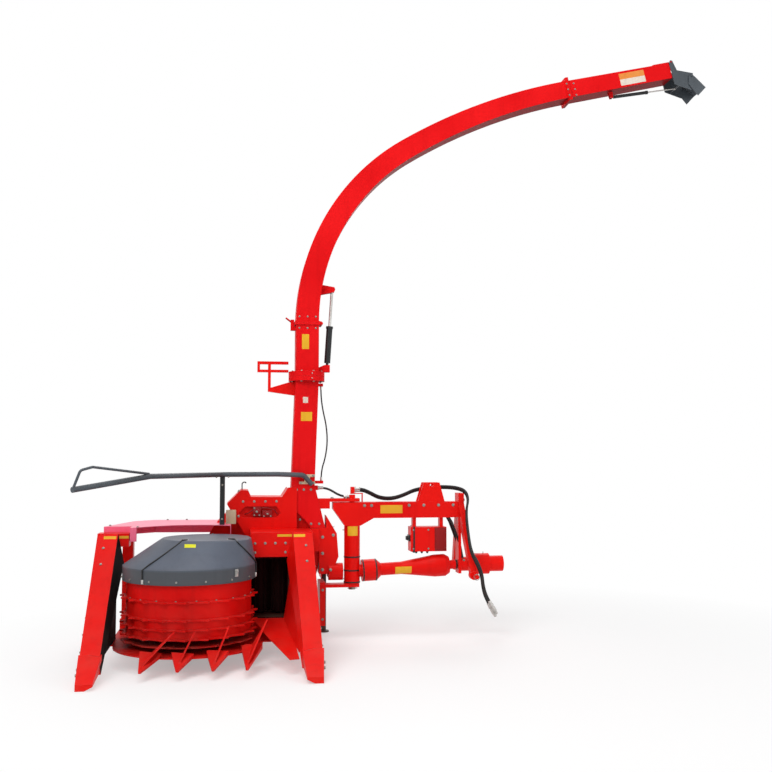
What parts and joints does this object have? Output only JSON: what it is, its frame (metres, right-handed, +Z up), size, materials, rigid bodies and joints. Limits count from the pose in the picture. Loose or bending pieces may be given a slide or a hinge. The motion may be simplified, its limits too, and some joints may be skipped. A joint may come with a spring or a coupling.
{
  "type": "mounted forage harvester",
  "caption": "Rotary maize harvester for a tractor's linkage: toothed drum under a dome, two crop dividers, chopper housing and a tall folding spout.",
  "frame": {"origin": "on the ground, at the centre of the machine's footprint as it stands parked with the hitch and spout out to the side", "axes": "+Z up, +X to the side where the hitch and the spout point, -Y to the front where the crop goes in"},
  "size_m": [4.4667, 1.7525, 4.2947],
  "materials": {
    "red_paint": "gloss paint",
    "grey_plastic": "moulded satin",
    "bare_steel": "worn bright",
    "black_paint": "satin paint",
    "black_rubber": "matt hose cover",
    "dark_iron": "bare"
  },
  "bodies": {
    "frame": {"base_pan": "red_paint", "rear_frame": "red_paint", "stalk_points": "red_paint", "spindle": "bare_steel", "dome": "grey_plastic", "divider_left": "red_paint", "divider_right": "red_paint", "shoe_left": "red_paint", "shoe_right": "red_paint", "side_sheet_left": "red_paint", "side_sheet_right": "red_paint", "inner_skirt": "red_paint", "deck": "red_paint", "chopper_housing": "red_paint", "chopper_hood": "red_paint", "flywheel": "dark_iron", "feed_channel": "red_paint", "cross_beam": "red_paint", "duct_foot": "red_paint", "pole_lower": "red_paint", "slew_bracket": "red_paint", "side_case": "red_paint", "swing_arm": "red_paint", "upper_arm": "red_paint", "stand_bracket_right": "red_paint", "stand_bracket_left": "red_paint", "root_hose": "black_rubber", "pole_hose": "black_rubber", "guide_rail": "black_paint", "rail_post": "red_paint"},
    "drum": {"gathering_drum": "red_paint"},
    "knives": {"knife_disc": "bare_steel"},
    "feed_left": {"feed_roller_left": "black_paint"},
    "feed_right": {"feed_roller_right": "black_paint"},
    "chute": {"pole_upper": "red_paint"},
    "spout": {"spout_arch": "red_paint", "spout_end": "red_paint"},
    "fold_cylinder": {"fold_barrel": "red_paint"},
    "fold_piston": {"fold_rod": "bare_steel"},
    "flap_inner": {"flap_1": "black_paint"},
    "flap_outer": {"flap_2": "black_paint"},
    "flap_cylinder": {"flap_barrel": "red_paint"},
    "flap_piston": {"flap_rod": "bare_steel"},
    "hitch": {"hitch_post": "red_paint", "hitch_beam": "red_paint", "headstock": "red_paint", "top_clevis": "red_paint", "valve_box": "red_paint", "pto_hanger": "red_paint", "pto_shaft": "red_paint", "beam_hose_a": "black_rubber", "beam_hose_b": "black_rubber", "hose_coupler_a": "bare_steel", "hose_coupler_b": "bare_steel"},
    "input_shaft": {"pto_stub": "bare_steel"},
    "parking_right": {"stand_right": "black_paint"},
    "parking_left": {"stand_left": "black_paint"}
  },
  "joints": [
    {"name": "drum_spin", "type": "hinge", "parent": "frame", "child": "drum", "pos_m": [-1.583, -0.136, 0.372], "axis": [0, 0, 1], "continuous": true},
    {"name": "knife_spin", "type": "hinge", "parent": "frame", "child": "knives", "pos_m": [-1.583, -0.136, 0.15], "axis": [0, 0, 1], "continuous": true},
    {"name": "feed_left_spin", "type": "hinge", "parent": "frame", "child": "feed_left", "pos_m": [-1.137, 0.284, 0.408], "axis": [0, 0, 1], "continuous": true},
    {"name": "feed_right_spin", "type": "hinge", "parent": "frame", "child": "feed_right", "pos_m": [-1.009, 0.284, 0.408], "axis": [0, 0, 1], "continuous": true},
    {"name": "chute_turn", "type": "hinge", "parent": "frame", "child": "chute", "pos_m": [-0.813, 0.484, 1.838], "axis": [0, 0, 1], "range_deg": [-110, 110]},
    {"name": "chute_fold", "type": "hinge", "parent": "chute", "child": "spout", "pos_m": [-0.712, 0.484, 2.217], "axis": [0, 1, 0], "range_deg": [0, 55]},
    {"name": "fold_cylinder_turn", "type": "hinge", "parent": "chute", "child": "fold_cylinder", "pos_m": [-0.668, 0.484, 1.904], "axis": [0, 1, 0], "range_deg": [-0.5, 24.89]},
    {"name": "fold_piston_slide", "type": "slide", "parent": "fold_cylinder", "child": "fold_piston", "axis": [0.0617, 0, 0.9981], "range_m": [-0.12382, 0.002]},
    {"name": "flap_inner_turn", "type": "hinge", "parent": "spout", "child": "flap_inner", "pos_m": [1.95184, 0.484, 4.28186], "axis": [0, 1, 0], "range_deg": [-22, 30]},
    {"name": "flap_outer_turn", "type": "hinge", "parent": "flap_inner", "child": "flap_outer", "pos_m": [2.11287, 0.484, 4.17837], "axis": [0, 1, 0], "range_deg": [-22.5, 30.5]},
    {"name": "flap_cylinder_turn", "type": "hinge", "parent": "spout", "child": "flap_cylinder", "pos_m": [1.5028, 0.484, 4.01233], "axis": [0, 1, 0], "range_deg": [-1.46, 1.8]},
    {"name": "flap_piston_slide", "type": "slide", "parent": "flap_cylinder", "child": "flap_piston", "axis": [0.9826, 0, 0.186], "range_m": [-0.09534, 0.07045]},
    {"name": "hitch_swing", "type": "hinge", "parent": "frame", "child": "hitch", "pos_m": [-0.486, 0.464, 0.378], "axis": [0, 0, 1], "range_deg": [-80, 0]},
    {"name": "input_spin", "type": "hinge", "parent": "hitch", "child": "input_shaft", "pos_m": [0.295, 0.464, 0.5], "axis": [1, 0, 0], "continuous": true},
    {"name": "stand_right_fold", "type": "hinge", "parent": "frame", "child": "parking_right", "pos_m": [-0.665, 0.726, 0.43], "axis": [1, 0, 0], "range_deg": [0, 90]},
    {"name": "stand_left_fold", "type": "hinge", "parent": "frame", "child": "parking_left", "pos_m": [-2.023, 0.726, 0.43], "axis": [1, 0, 0], "range_deg": [0, 90]}
  ],
  "couplings": [
    {"joint": "feed_right_spin", "follows": "feed_left_spin", "ratio": -1},
    {"joint": "fold_cylinder_turn", "follows": "chute_fold", "ratio": 0.44348},
    {"joint": "fold_piston_slide", "follows": "chute_fold", "m_per_rad": -0.1269},
    {"joint": "flap_outer_turn", "follows": "flap_inner_turn", "ratio": 1},
    {"joint": "flap_cylinder_turn", "follows": "flap_inner_turn", "ratio": 0.04347},
    {"joint": "flap_piston_slide", "follows": "flap_inner_turn", "m_per_rad": -0.17826}
  ]
}
